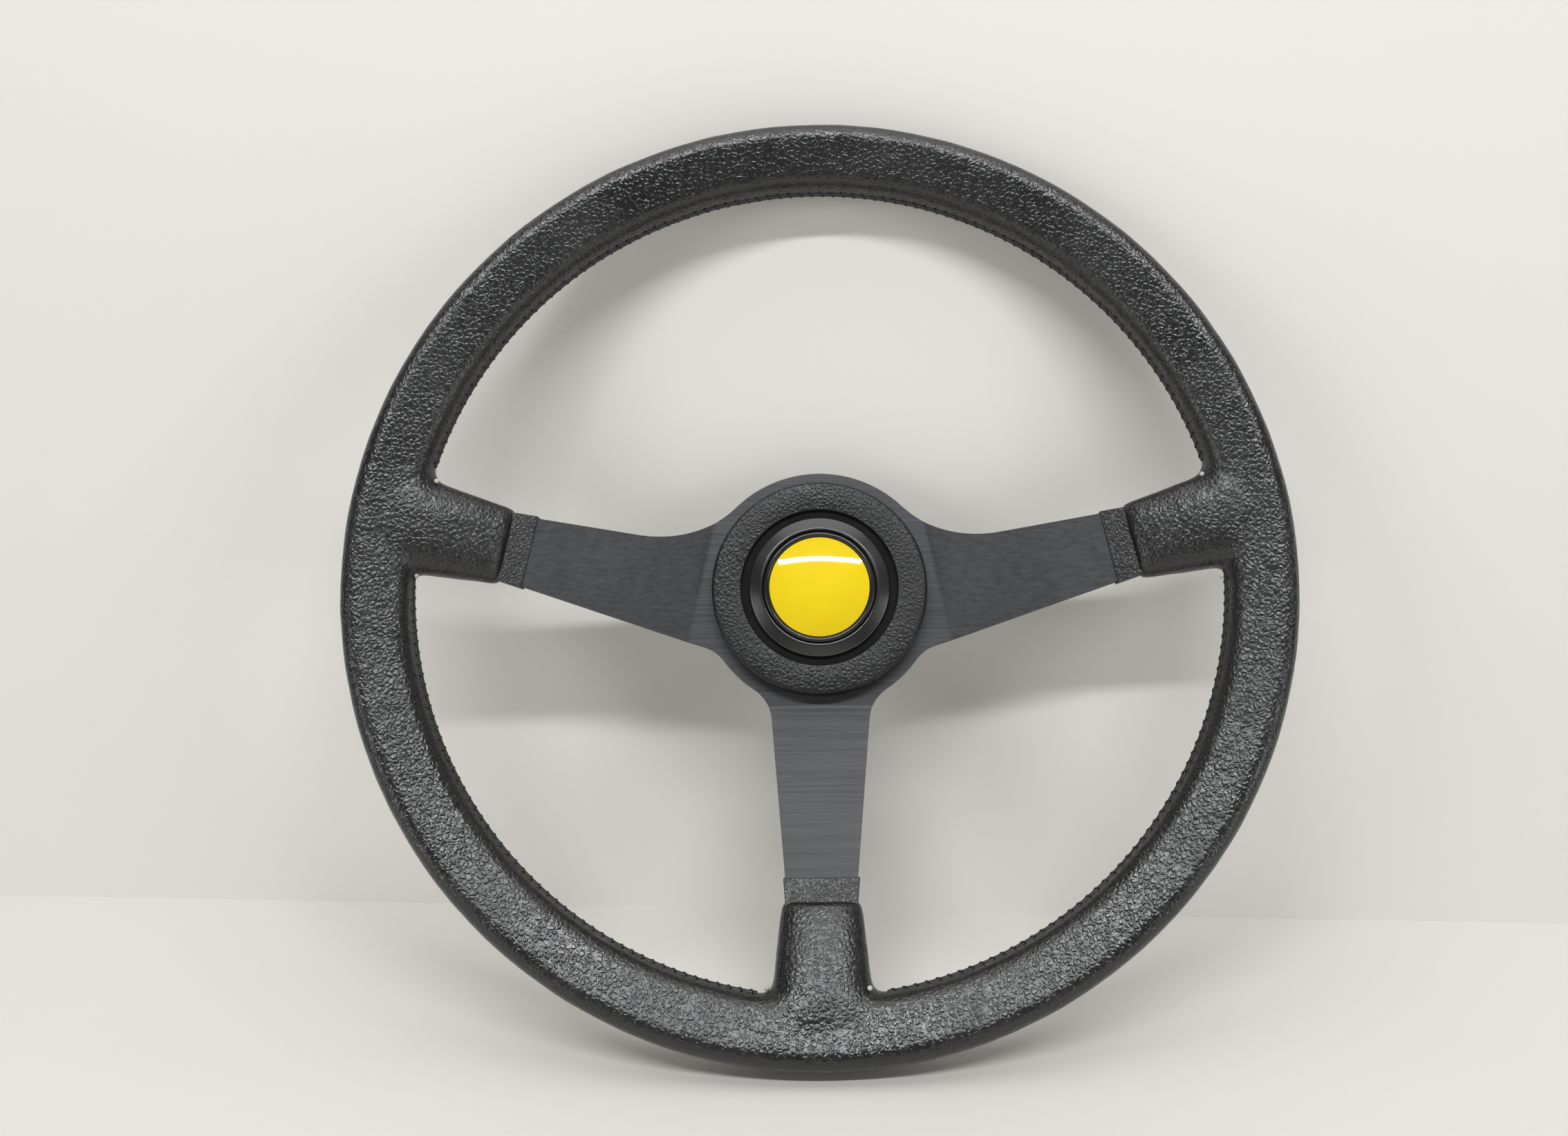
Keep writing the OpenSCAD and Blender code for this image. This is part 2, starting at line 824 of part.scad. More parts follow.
// Clear cast dome with a short upright edge
module emblem_dome() {
    base = cap_seat + emblem_t;
    half = emblem_d / 2;
    high = dome_h - dome_edge;
    round_r = (half * half + high * high) / (2 * high);
    span = asin(half / round_r);
    color([0.95, 0.95, 0.9, 0.4])
    turned() polygon(concat(
        [[0, base], [half, base]],
        [
            for (i = [12:-1:0])
                [round_r * sin(span * i / 12), base + dome_h - round_r * (1 - cos(span * i / 12))]
        ]
    ));
}

spoke_plate();
rim_core();
core_rivets();
rim_foam();
rim_leather();
leather_tab_right();
leather_tab_left();
leather_tab_bottom();
seam_thread_top();
seam_thread_right();
seam_thread_left();
bolt_cover_ring();
horn_housing();
horn_bezel();
retaining_ring();
insulator_disc();
contact_ring();
spring_base();
horn_spring();
contact_cup();
horn_cap();
emblem_disc();
emblem_dome();
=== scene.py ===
# Looks, stage, light and camera for the leather car steering wheel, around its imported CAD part.
# The wheel stands upright here as in the part, so the room that it leans in is tilted instead.
import math
import bpy
import numpy as np
from mathutils import Matrix, Vector, noise


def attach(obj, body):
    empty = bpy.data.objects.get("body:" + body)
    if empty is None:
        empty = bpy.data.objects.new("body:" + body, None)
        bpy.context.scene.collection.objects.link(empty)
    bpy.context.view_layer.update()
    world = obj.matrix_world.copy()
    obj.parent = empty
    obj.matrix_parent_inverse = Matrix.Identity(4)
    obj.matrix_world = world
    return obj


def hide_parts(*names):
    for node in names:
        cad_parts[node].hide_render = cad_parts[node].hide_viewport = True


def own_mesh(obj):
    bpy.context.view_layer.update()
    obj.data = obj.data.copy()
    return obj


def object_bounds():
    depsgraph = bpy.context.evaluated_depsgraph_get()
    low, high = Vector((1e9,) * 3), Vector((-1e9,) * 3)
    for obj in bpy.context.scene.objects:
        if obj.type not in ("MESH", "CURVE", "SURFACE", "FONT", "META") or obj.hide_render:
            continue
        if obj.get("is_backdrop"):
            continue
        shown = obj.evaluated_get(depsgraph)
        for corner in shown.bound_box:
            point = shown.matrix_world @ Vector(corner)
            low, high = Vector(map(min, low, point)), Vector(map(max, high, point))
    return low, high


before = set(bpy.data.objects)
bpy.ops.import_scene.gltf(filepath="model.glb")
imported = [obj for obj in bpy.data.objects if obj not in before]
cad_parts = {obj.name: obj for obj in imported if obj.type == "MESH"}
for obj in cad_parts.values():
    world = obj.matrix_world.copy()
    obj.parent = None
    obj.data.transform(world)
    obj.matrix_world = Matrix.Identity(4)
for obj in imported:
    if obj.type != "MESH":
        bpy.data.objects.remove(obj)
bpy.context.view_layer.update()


# Leather rim: one black skin drawn wet over the foam, with three padded roots that run in over
# the spokes. It is lofted as the part is, then melted into a single skin with soft corners.
def node(tree, kind, sockets=None, **settings):
    """Adds a node. Sockets gives an input its value or the output that feeds it."""
    made = tree.nodes.new(kind)
    for key, value in settings.items():
        setattr(made, key, value)
    for key, value in (sockets or {}).items():
        if isinstance(value, bpy.types.NodeSocket):
            tree.links.new(value, made.inputs[key])
        else:
            made.inputs[key].default_value = value
    return made


def on_piece(tree):
    """The place on the piece, in metres, for a pattern to follow."""
    return node(tree, "ShaderNodeTexCoord").outputs["Object"]


def maths(tree, operation, *values):
    """The result of a sum on values or outputs."""
    return node(tree, "ShaderNodeMath", dict(enumerate(values)), operation=operation).outputs[0]


def scaled(tree, vector, by):
    """A vector or colour made longer or brighter by a factor."""
    return node(tree, "ShaderNodeVectorMath", {0: vector, "Scale": by}, operation="SCALE").outputs[0]


def ranged(tree, value, low, high, to_low=0.0, to_high=1.0, **settings):
    """A value taken from one range to another, and held within it."""
    ends = {"Value": value, "From Min": low, "From Max": high, "To Min": to_low, "To Max": to_high}
    return node(tree, "ShaderNodeMapRange", ends, **settings).outputs[0]


def bumped(tree, height, depth):
    """The slope of a surface whose relief is depth metres high."""
    return node(tree, "ShaderNodeBump", {"Height": height, "Strength": 1.0, "Distance": depth}).outputs[0]


def group(name, ins, outs, kind="ShaderNodeTree"):
    """A node group with its named inputs and outputs."""
    made = bpy.data.node_groups.new(name, kind)
    for title, socket, value in ins:
        face = made.interface.new_socket(title, in_out="INPUT", socket_type=socket)
        if value is not None:
            face.default_value = value
    for title, socket in outs:
        made.interface.new_socket(title, in_out="OUTPUT", socket_type=socket)
    return made, made.nodes.new("NodeGroupInput").outputs, made.nodes.new("NodeGroupOutput").inputs


def solid(name, rings, ends):
    """A closed mesh from rings of points. Ends is "caps", or "loop" to join the last ring to the first."""
    count, side = len(rings), len(rings[0])
    points = [p for ring in rings for p in ring]
    faces = []
    for k in range(count if ends == "loop" else count - 1):
        a, b = k * side, (k + 1) % count * side
        faces += [(a + i, b + i, b + (i + 1) % side, a + (i + 1) % side) for i in range(side)]
    if ends == "caps":
        last = (count - 1) * side
        faces += [tuple(range(side)), tuple(last + i for i in reversed(range(side)))]
    mesh = bpy.data.meshes.new(name)
    mesh.from_pydata(points, [], faces)
    mesh.shade_smooth()
    made = bpy.data.objects.new(name, mesh)
    bpy.context.scene.collection.objects.link(made)
    return made


def made_plain(obj):
    """Turns what obj's modifiers make into its own plain mesh."""
    seen = obj.evaluated_get(bpy.context.evaluated_depsgraph_get())
    mesh = bpy.data.meshes.new_from_object(seen)
    obj.modifiers.clear()
    obj.data = mesh
    return obj


def joined(name, parts):
    """Joins several meshes into one object."""
    for o in bpy.context.selected_objects:
        o.select_set(False)
    for o in parts:
        o.select_set(True)
    bpy.context.view_layer.objects.active = parts[0]
    bpy.ops.object.join()
    parts[0].name = parts[0].data.name = name
    return parts[0]


# Sizes of the wheel are in mm. A height is a distance in front of the hub's rear face.
RIM_MID = 176.25  # radius of the middle of the grip
RIM_IN = 162.5  # radius of the side of the grip that faces the hub
DISH = 40.0  # height of the middle of the grip
# The rounds of the grip's section: across and forward of its middle, and radius.
GRIP_ROUNDS = [(6.6, 6.9, 5.8), (-7.3, 2.1, 5.8), (3.25, -2.25, 10.5), (-3.25, -2.25, 10.5)]
GRIP_SIDES = 96
RIM_STEPS = 720


def grip_section(inset):
    """The grip's section, which leans in towards the hub, as radii and heights in mm."""
    made = []
    for k in range(GRIP_SIDES):
        turn = 2 * math.pi * (k + 0.5) / GRIP_SIDES
        c, s = math.cos(turn), math.sin(turn)
        x, y, r = max(GRIP_ROUNDS, key=lambda q: q[0] * c + q[1] * s + q[2])
        made.append((RIM_MID + x + (r - inset) * c, DISH + y + (r - inset) * s))
    return made


def swept(outline, angle):
    """An outline of radius and height in mm, turned to an angle about the wheel's axis."""
    c, s = math.cos(angle), math.sin(angle)
    return [(0.001 * r * c, -0.001 * h, 0.001 * r * s) for r, h in outline]


ROOT_START = 127.5  # distance from the wheel's axis at which a padded root begins
ROOT_SQUARE = 2.7  # 2 would give a root's section round corners, and more makes it squarer
ROOT_SIDES = 72
ROOT_RINGS = 60
ROOT_EDGE = 1.6  # round along the end of a root
ROOT_EDGE_STEPS = (0, 0.2, 0.5, 0.9, 1.3)
ROOT_FRONT, ROOT_REAR = 50.1, 27.75  # heights that a root reaches in the middle of the grip
FRONT_POWER, REAR_POWER = 1.35, 1.4  # how late its front and its rear curve up to them
ROOT_HALF, ROOT_GAIN = 15.75, 3.75  # half its width where it begins, and what it gains on its way
FLARE, FLARE_GAIN = 5.5, 4.4  # length of its flare into the grip, and what half its width gains there
FLARE_MOST = 1.3  # the share of that length at which the flare stops, inside the grip
PLATE_HALF = 2.0
PADDING = 4.0
HUB_BEND, RIM_BEND = (50.0, 2.0), (153.0, 37.0)  # radius and height of the sheet's middle at its bends
slope = math.atan((RIM_BEND[1] - HUB_BEND[1]) / (RIM_BEND[0] - HUB_BEND[0]))
root_mid = HUB_BEND[1] + (ROOT_START - HUB_BEND[0]) * math.tan(slope)
root_half = PLATE_HALF / math.cos(slope) + PADDING


def root_ring(s, shrink):
    """One ring of a padded root, s mm from the wheel's axis, in the spoke's own frame."""
    out = max(0.0, (RIM_MID - s) / (RIM_MID - ROOT_START))
    front = ROOT_FRONT - (ROOT_FRONT - root_mid - root_half) * out ** FRONT_POWER
    rear = ROOT_REAR - (ROOT_REAR - root_mid + root_half) * out ** REAR_POWER
    gain = ROOT_GAIN * min(1.0, (s - ROOT_START) / (RIM_IN - ROOT_START))
    swell = min(FLARE_MOST, max(0.0, (s - RIM_IN + FLARE) / FLARE))
    wide = ROOT_HALF + gain + FLARE_GAIN * swell ** 2 - shrink
    high, mid = (front - rear) / 2 - shrink, (front + rear) / 2
    ring = []
    for i in range(ROOT_SIDES):
        a = 2 * math.pi * (i + 0.5) / ROOT_SIDES
        c, d = math.cos(a), math.sin(a)
        across = wide * math.copysign(abs(c) ** (2 / ROOT_SQUARE), c)
        forward_by = high * math.copysign(abs(d) ** (2 / ROOT_SQUARE), d)
        ring.append((s, -(mid + forward_by), across))
    return ring


# Each side spoke rises 12 degrees, along a line 12 mm under one through the wheel's axis.
side_tilt = Matrix.Rotation(math.radians(12), 3, (0, -1, 0))
spoke_frames = {
    "right": side_tilt,
    "left": Matrix.Diagonal((-1, 1, 1)) @ side_tilt,
    "bottom": Matrix.Rotation(math.radians(90), 3, (0, 1, 0)),
}
spoke_drops = {"right": 12.0, "left": 12.0, "bottom": 0.0}


def on_spoke(side, points):
    """Points in mm of a spoke's own frame, as places on the wheel in metres."""
    turn, drop = spoke_frames[side], spoke_drops[side]
    return [tuple(turn @ Vector((x, y, z - drop)) * 0.001) for x, y, z in points]


def rim_body(name, inset, voxel, melting):
    """The grip and its three roots as one soft skin, inset by some mm."""
    section = grip_section(inset)
    turns = [2 * math.pi * k / RIM_STEPS for k in range(RIM_STEPS)]
    parts = [solid(name, [swept(section, a) for a in turns], "loop")]
    start = ROOT_START + inset
    length = RIM_MID - start - ROOT_EDGE
    rings = []
    for d in ROOT_EDGE_STEPS:
        shrink = ROOT_EDGE - math.sqrt(ROOT_EDGE ** 2 - (ROOT_EDGE - d) ** 2)
        rings.append(root_ring(start + d, inset + shrink))
    for k in range(ROOT_RINGS + 1):
        rings.append(root_ring(start + ROOT_EDGE + length * k / ROOT_RINGS, inset))
    for side in ("right", "left", "bottom"):
        parts.append(solid("root_" + side, [on_spoke(side, ring) for ring in rings], "caps"))
    made = joined(name, parts)
    skin = made.modifiers.new("skin", "REMESH")
    skin.mode, skin.voxel_size, skin.use_smooth_shade = "VOXEL", voxel, True
    melt = made.modifiers.new("melt", "SMOOTH")
    melt.factor, melt.iterations = 0.5, melting
    return made_plain(made)


rim = rim_body("rim_skin", inset=0.0, voxel=0.00125, melting=12)

# Hand-drawn leather is never quite even: slow swells all round, and short gathers at the roots.
SWELLS, RIPPLES, GATHERS = 0.00016, 0.00008, 0.00014  # height of each, in metres
SWELLS_FINE, RIPPLES_FINE, GATHERS_FINE = 55, 170, Vector((150, 150, 420))  # how many to a metre
GATHERS_REACH = 0.022  # how far the gathers run from each inner corner of a root
CORNER_IN, CORNER_SIDE = 3, 20  # such a corner, in mm: inside the rim's inner side, and to each side
count = len(rim.data.vertices)
spots, ways = np.zeros(count * 3), np.zeros(count * 3)
rim.data.vertices.foreach_get("co", spots)
rim.data.vertices.foreach_get("normal", ways)
spots, ways = spots.reshape(-1, 3), ways.reshape(-1, 3)
corners = []
for side in spoke_frames:
    for across in (-CORNER_SIDE, CORNER_SIDE):
        corners += on_spoke(side, [(RIM_IN - CORNER_IN, -DISH, across)])
near = np.min([np.linalg.norm(spots - np.array(c), axis=1) for c in corners], axis=0)
gather = np.clip(1 - near / GATHERS_REACH, 0, 1)
lift = np.zeros(count)
for i in range(count):
    p = Vector(spots[i])
    lift[i] = SWELLS * noise.noise(p * SWELLS_FINE) + RIPPLES * noise.noise(p * RIPPLES_FINE)
    if gather[i] > 0:
        lift[i] += GATHERS * gather[i] * noise.noise(p * GATHERS_FINE)
spots += ways * lift[:, None]
rim.data.vertices.foreach_set("co", spots.reshape(-1))
rim.data.update()

# Slow change of colour and polish over any surface, as handling and dust leave it.
uneven, ins, outs = group(
    "uneven surface",
    [
        ("Colour", "NodeSocketColor", (0.5, 0.5, 0.5, 1)),
        ("Roughness", "NodeSocketFloat", 0.5),
        ("Patches per metre", "NodeSocketFloat", 40.0),
        ("Amount", "NodeSocketFloat", 0.15),
    ],
    [("Colour", "NodeSocketColor"), ("Roughness", "NodeSocketFloat")],
)
patch = node(
    uneven, "ShaderNodeTexNoise",
    {"Vector": on_piece(uneven), "Scale": ins["Patches per metre"], "Detail": 4.0},
)
swing = ranged(uneven, patch.outputs[0], 0.3, 0.7, -1.0, 1.0)
shade = maths(uneven, "MULTIPLY_ADD", swing, ins["Amount"], 1.0)
uneven.links.new(scaled(uneven, ins["Colour"], shade), outs["Colour"])
uneven.links.new(maths(uneven, "MULTIPLY", shade, ins["Roughness"]), outs["Roughness"])

# Pebbled leather grain: rounded pebbles between fine creases, with longer wrinkles drawn over them.
grain, ins, outs = group(
    "leather grain",
    [
        ("Pebble size in mm", "NodeSocketFloat", 1.3),
        ("Wrinkle size in mm", "NodeSocketFloat", 7.0),
        ("Wrinkles", "NodeSocketFloat", 0.5),
    ],
    [("Height", "NodeSocketFloat")],
)
in_mm = scaled(grain, on_piece(grain), 1000.0)
warp = node(grain, "ShaderNodeTexNoise", {"Vector": in_mm, "Scale": 0.6, "Detail": 2.0})
push = node(
    grain, "ShaderNodeVectorMath",
    {0: warp.outputs["Color"], 1: (0.9, 0.9, 0.9), 2: in_mm},
    operation="MULTIPLY_ADD",
).outputs[0]
cells = node(
    grain, "ShaderNodeTexVoronoi",
    {"Vector": push, "Scale": maths(grain, "DIVIDE", 1.0, ins["Pebble size in mm"]), "Randomness": 1.0},
    feature="DISTANCE_TO_EDGE",
)
domed = ranged(grain, cells.outputs["Distance"], 0.0, 0.32, interpolation_type="SMOOTHSTEP")
folding = node(
    grain, "ShaderNodeTexNoise",
    {
        "Vector": push,
        "Scale": maths(grain, "DIVIDE", 1.0, ins["Wrinkle size in mm"]),
        "Detail": 3.0,
        "Distortion": 0.8,
    },
)
ridge = ranged(grain, folding.outputs[0], 0.38, 0.62)
grain.links.new(maths(grain, "MULTIPLY_ADD", ridge, ins["Wrinkles"], domed), outs["Height"])


def finish(name, colour, roughness, patches=40.0, amount=0.15, **fixed):
    """A material with an uneven surface. Fixed holds constant inputs of its shader."""
    made = bpy.data.materials.new(name)
    made.use_nodes = True
    tree = made.node_tree
    shader = tree.nodes["Principled BSDF"]
    base = node(tree, "ShaderNodeGroup", node_tree=uneven)
    base.inputs["Colour"].default_value = (*colour, 1)
    base.inputs["Roughness"].default_value = roughness
    base.inputs["Patches per metre"].default_value = patches
    base.inputs["Amount"].default_value = amount
    tree.links.new(base.outputs["Colour"], shader.inputs["Base Color"])
    tree.links.new(base.outputs["Roughness"], shader.inputs["Roughness"])
    for key, value in fixed.items():
        shader.inputs[key.replace("_", " ")].default_value = value
    return made, tree, shader


def leather(name, colour, roughness, pebble, wrinkle, wrinkles, depth, ior=1.6):
    """Leather with pebbled grain. Sizes are in mm, and depth is the grain's height."""
    made, tree, shader = finish(name, colour, roughness, 30.0, 0.18, IOR=ior)
    rolled = node(tree, "ShaderNodeGroup", node_tree=grain)
    rolled.inputs["Pebble size in mm"].default_value = pebble
    rolled.inputs["Wrinkle size in mm"].default_value = wrinkle
    rolled.inputs["Wrinkles"].default_value = wrinkles
    tree.links.new(bumped(tree, rolled.outputs["Height"], 0.001 * depth), shader.inputs["Normal"])
    return made


rim.data.materials.clear()
rim.data.materials.append(leather(
    "rim leather", (0.007, 0.007, 0.008), 0.28, pebble=2.0, wrinkle=5.0, wrinkles=0.8, depth=0.11
))
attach(rim, "wheel")
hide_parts("rim_leather")


# Seam: the two folded edges of the leather meet on the side of the rim that faces the hub.
# Each fold is a slim raised bead that runs from one padded root to the next.
SEAM_H = 37.5
FOLD_APART, FOLD_OUT = 0.75, 0.45  # each fold's middle beside the seam, and under the leather
FOLD_DEEP, FOLD_WIDE = 0.8, 0.72  # half its size through the leather, and across
FOLD_SIDES = 16
STEPS_PER_DEGREE = 4
sectors = [(16.6, 163.4), (-81.2, 7.5), (172.5, 261.2)]  # degrees from the right, the way to the top
folds = []
for start, stop in sectors:
    turns = np.radians(np.linspace(start, stop, int((stop - start) * STEPS_PER_DEGREE)))
    for shift in (-FOLD_APART, FOLD_APART):
        ring = [
            (RIM_IN + FOLD_OUT + FOLD_DEEP * math.cos(a), SEAM_H + shift + FOLD_WIDE * math.sin(a))
            for a in np.linspace(0, 2 * math.pi, FOLD_SIDES + 1)[:-1]
        ]
        folds.append(solid("fold", [swept(ring, a) for a in turns], "caps"))
folds = joined("seam_folds", folds)
folds.data.materials.append(leather(
    "folded leather edge", (0.010, 0.010, 0.011), 0.45, pebble=0.9, wrinkle=5.0, wrinkles=0.3, depth=0.04
))
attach(folds, "wheel")


# Sewing thread: waxed black thread that laces the two folds together with slanted stitches.
# Every stitch is a bowed length of thread over the seam, and the row follows the seam's arc.
def thread_material(name, colour, roughness):
    """Twisted thread of one colour."""
    made, tree, shader = finish(name, colour, roughness, 200.0, 0.2)
    twist = node(
        tree, "ShaderNodeTexWave",
        {"Vector": on_piece(tree), "Scale": 900.0, "Distortion": 1.5, "Detail": 1.0},
        bands_direction="DIAGONAL",
    )
    tree.links.new(bumped(tree, twist.outputs["Fac"], 0.00005), shader.inputs["Normal"])
    return made


black_thread = thread_material("black thread", (0.02, 0.02, 0.02), 0.5)
stitching, ins, outs = group(
    "row of stitches",
    [
        ("Seam", "NodeSocketGeometry", None),
        ("Pitch", "NodeSocketFloat", 0.0044),
        ("Length", "NodeSocketFloat", 0.0036),
        ("Thread", "NodeSocketFloat", 0.0009),
        ("Bow", "NodeSocketFloat", 0.0008),
        ("Slant", "NodeSocketFloat", 0.5),
        ("Material", "NodeSocketMaterial", None),
    ],
    [("Stitches", "NodeSocketGeometry")],
    "GeometryNodeTree",
)
STITCH_SUNK = -0.0003  # depth of a stitch's two ends, in metres
half = maths(stitching, "MULTIPLY", ins["Length"], 0.5)
back = maths(stitching, "MULTIPLY", half, -1.0)
head = node(stitching, "ShaderNodeCombineXYZ", {"X": half, "Z": STITCH_SUNK}).outputs[0]
tail = node(stitching, "ShaderNodeCombineXYZ", {"X": back, "Z": STITCH_SUNK}).outputs[0]
crown = node(stitching, "ShaderNodeCombineXYZ", {"Z": ins["Bow"]}).outputs[0]
bow = node(
    stitching, "GeometryNodeCurveQuadraticBezier",
    {"Resolution": 8, "Start": tail, "Middle": crown, "End": head},
).outputs[0]
thread_r = maths(stitching, "MULTIPLY", ins["Thread"], 0.5)
section = node(stitching, "GeometryNodeCurvePrimitiveCircle", {"Resolution": 8, "Radius": thread_r})
stitch = node(
    stitching, "GeometryNodeCurveToMesh",
    {"Curve": bow, "Profile Curve": section.outputs[0], "Fill Caps": True},
).outputs[0]
line = node(stitching, "GeometryNodeMeshToCurve", {"Mesh": ins["Seam"]}).outputs[0]
places = node(
    stitching, "GeometryNodeResampleCurve", {"Curve": line, "Length": ins["Pitch"]}, mode="LENGTH"
).outputs[0]
spot = node(stitching, "GeometryNodeInputPosition").outputs[0]
inward = node(stitching, "ShaderNodeVectorMath", {0: spot, 1: (-1, 0, -1)}, operation="MULTIPLY")
along = node(stitching, "GeometryNodeInputTangent").outputs[0]
facing = node(
    stitching, "FunctionNodeAxesToRotation", {0: inward.outputs[0], 1: along},
    primary_axis="Z", secondary_axis="Y",
).outputs[0]
slight = node(stitching, "FunctionNodeRandomValue", {2: -0.08, 3: 0.08, "Seed": 7}, data_type="FLOAT")
slant = maths(stitching, "ADD", ins["Slant"], slight.outputs[1])
turn = node(stitching, "FunctionNodeAxisAngleToRotation", {"Axis": (0, 0, 1), "Angle": slant}).outputs[0]
laid = node(
    stitching, "FunctionNodeRotateRotation", {0: facing, 1: turn}, rotation_space="LOCAL"
).outputs[0]
row = node(
    stitching, "GeometryNodeInstanceOnPoints", {"Points": places, "Instance": stitch, "Rotation": laid}
).outputs[0]
real = node(stitching, "GeometryNodeRealizeInstances", {"Geometry": row}).outputs[0]
smooth = node(stitching, "GeometryNodeSetShadeSmooth", {"Geometry": real}).outputs[0]
dyed = node(
    stitching, "GeometryNodeSetMaterial", {"Geometry": smooth, "Material": ins["Material"]}
).outputs[0]
stitching.links.new(dyed, outs["Stitches"])
socket = {s.name: s.identifier for s in stitching.interface.items_tree if s.in_out == "INPUT"}
ROW_OUT = 0.15  # the row's distance from the rim's inner side
ROW_SHORT = 0.8  # degrees that it stops short of the folds' ends
ROW_STEPS = 200
for (start, stop), cad in zip(sectors, ("seam_thread_top", "seam_thread_right", "seam_thread_left")):
    turns = np.radians(np.linspace(start + ROW_SHORT, stop - ROW_SHORT, ROW_STEPS))
    arc = [swept([(RIM_IN - ROW_OUT, SEAM_H)], a)[0] for a in turns]
    mesh = bpy.data.meshes.new("stitches")
    mesh.from_pydata(arc, [(i, i + 1) for i in range(ROW_STEPS - 1)], [])
    sewn = bpy.data.objects.new("stitches_" + cad.split("_")[-1], mesh)
    bpy.context.scene.collection.objects.link(sewn)
    made = sewn.modifiers.new("stitches", "NODES")
    made.node_group = stitching
    made[socket["Material"]] = black_thread
    made[socket["Slant"]] = 0.5
    made_plain(sewn)
    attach(sewn, "wheel")
    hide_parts(cad)


# Knots: the end of the lacing is tied off at both ends of each seam, close to the roots.
# Each knot is a small hard ball of thread, pressed into the corner beside a root, and its pale colour is
# partly the thread's own and partly a painted glint.
def ball(name, centre, radii, rings=10, sides=16):
    """A closed ball with its poles on Y."""
    around = np.linspace(0, 2 * math.pi, sides + 1)[:-1]
    made = []
    for k in range(rings + 1):
        tip = math.pi * (k + 0.04) / (rings + 0.08)
        wide, y, deep = radii[0] * math.sin(tip), radii[1] * math.cos(tip), radii[2] * math.sin(tip)
        made.append([
            (centre[0] + wide * math.cos(a), centre[1] + y, centre[2] + deep * math.sin(a)) for a in around
        ])
    return solid(name, made, "caps")


KNOT = (0.001, 0.0012, 0.001)
knot_places = [
    (154, -42.4, 39.6), (-153.6, -42.4, 39.6),
    (-161.2, -38.9, 1.6), (160.6, -38.9, -1.4),
    (-21.3, -38.6, -159.2), (18, -43.8, -158.7),
]
knots = [ball("knot", Vector(place) * 0.001, KNOT) for place in knot_places]
knots = joined("knots", knots)
# Partly painted glint: the knots' pale colour also stands in for the bright glints at the seam ends.
knots.data.materials.append(thread_material("pale thread with painted glint", (0.55, 0.52, 0.45), 0.6))
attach(knots, "wheel")


# Flat tabs: the leather is skived thin where it wraps each spoke, and shows as a grained strip
# between the bare plate and the padded root.
def softened(name, cad, width, segments=2):
    """A copy of a CAD mesh, merged and with its sharp edges rounded."""
    mesh = bpy.data.objects[cad].data.copy()
    made = bpy.data.objects.new(name, mesh)
    bpy.context.scene.collection.objects.link(made)
    weld = made.modifiers.new("weld", "WELD")
    weld.merge_threshold = 0.000002
    clean = made.modifiers.new("clean", "DECIMATE")
    clean.decimate_type, clean.angle_limit = "DISSOLVE", math.radians(0.4)
    edge = made.modifiers.new("edge", "BEVEL")
    edge.width, edge.segments = width, segments
    edge.limit_method, edge.angle_limit = "ANGLE", math.radians(35)
    edge.use_clamp_overlap = True
    even = made.modifiers.new("even", "WEIGHTED_NORMAL")
    even.mode, even.weight = "FACE_AREA", 100
    mesh.shade_smooth()
    made_plain(made)
    made.data.materials.clear()
    return made


tab_leather = leather(
    "tab leather", (0.008, 0.008, 0.009), 0.36, pebble=1.4, wrinkle=3.5, wrinkles=0.5, depth=0.13
)
for side in ("right", "left", "bottom"):
    tab = softened("tab_" + side, "leather_tab_" + side, 0.00035)
    tab.data.materials.append(tab_leather)
    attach(tab, "wheel")
    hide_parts("leather_tab_" + side)


# Spoke plate: one 4 mm aluminium sheet, laser cut, bent at both ends of each spoke, brushed from
# side to side and anodised dark grey. Its cut edges catch the light as thin lines.
BRUSHED = (14.0, 700.0, 700.0)  # brush marks per metre: long across the wheel, fine the other ways
plate = softened("plate", "spoke_plate", 0.0003)
dark_plate, tree, shader = finish(
    "brushed anodised plate", (0.049, 0.050, 0.053), 0.50, 25.0, 0.12, Metallic=0.5
)
drawn = node(tree, "ShaderNodeMapping", {"Vector": on_piece(tree), "Scale": BRUSHED})
brush = node(
    tree, "ShaderNodeTexNoise",
    {"Vector": drawn.outputs[0], "Scale": 1.0, "Detail": 5.0, "Roughness": 0.65},
)
tree.links.new(bumped(tree, brush.outputs[0], 0.00012), shader.inputs["Normal"])
lines = ranged(tree, brush.outputs[0], 0.3, 0.7, 0.7, 1.3)
base = shader.inputs["Base Color"].links[0].from_socket
tree.links.new(scaled(tree, base, lines), shader.inputs["Base Color"])
plate.data.materials.append(dark_plate)
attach(plate, "wheel")
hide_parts("spoke_plate")


# Bolt cover ring: moulded in black plastic with a coarse leather grain, rounded at its outer edge.
# It is hollow behind, and its inner ledge carries the horn button. The ledge is made darker and duller than
# the ring, as painted shade in the gap round the bezel.
def turned(name, outline, steps=256):
    """A closed outline of radius and height in mm, turned about the wheel's axis."""
    made = solid(name, [swept(outline, 2 * math.pi * k / steps) for k in range(steps)], "loop")
    made.data.set_sharp_from_angle(angle=math.radians(50))
    return made


def bend(centre, r, start, stop, steps=8):
    """Points of an arc in mm, from one angle to another in degrees."""
    turns = np.radians(np.linspace(start, stop, steps + 1))
    return [(centre[0] + r * math.cos(a), centre[1] + r * math.sin(a)) for a in turns]


def satin(name, colour, roughness, pits, depth, amount=0.12, **fixed):
    """A moulded, turned or drawn surface with fine pits. Pits are per mm, and depth is in mm."""
    made, tree, shader = finish(name, colour, roughness, 60.0, amount, **fixed)
    speck = node(
        tree, "ShaderNodeTexNoise", {"Vector": on_piece(tree), "Scale": 1000.0 * pits, "Detail": 3.0}
    )
    tree.links.new(bumped(tree, speck.outputs[0], 0.001 * depth), shader.inputs["Normal"])
    return made


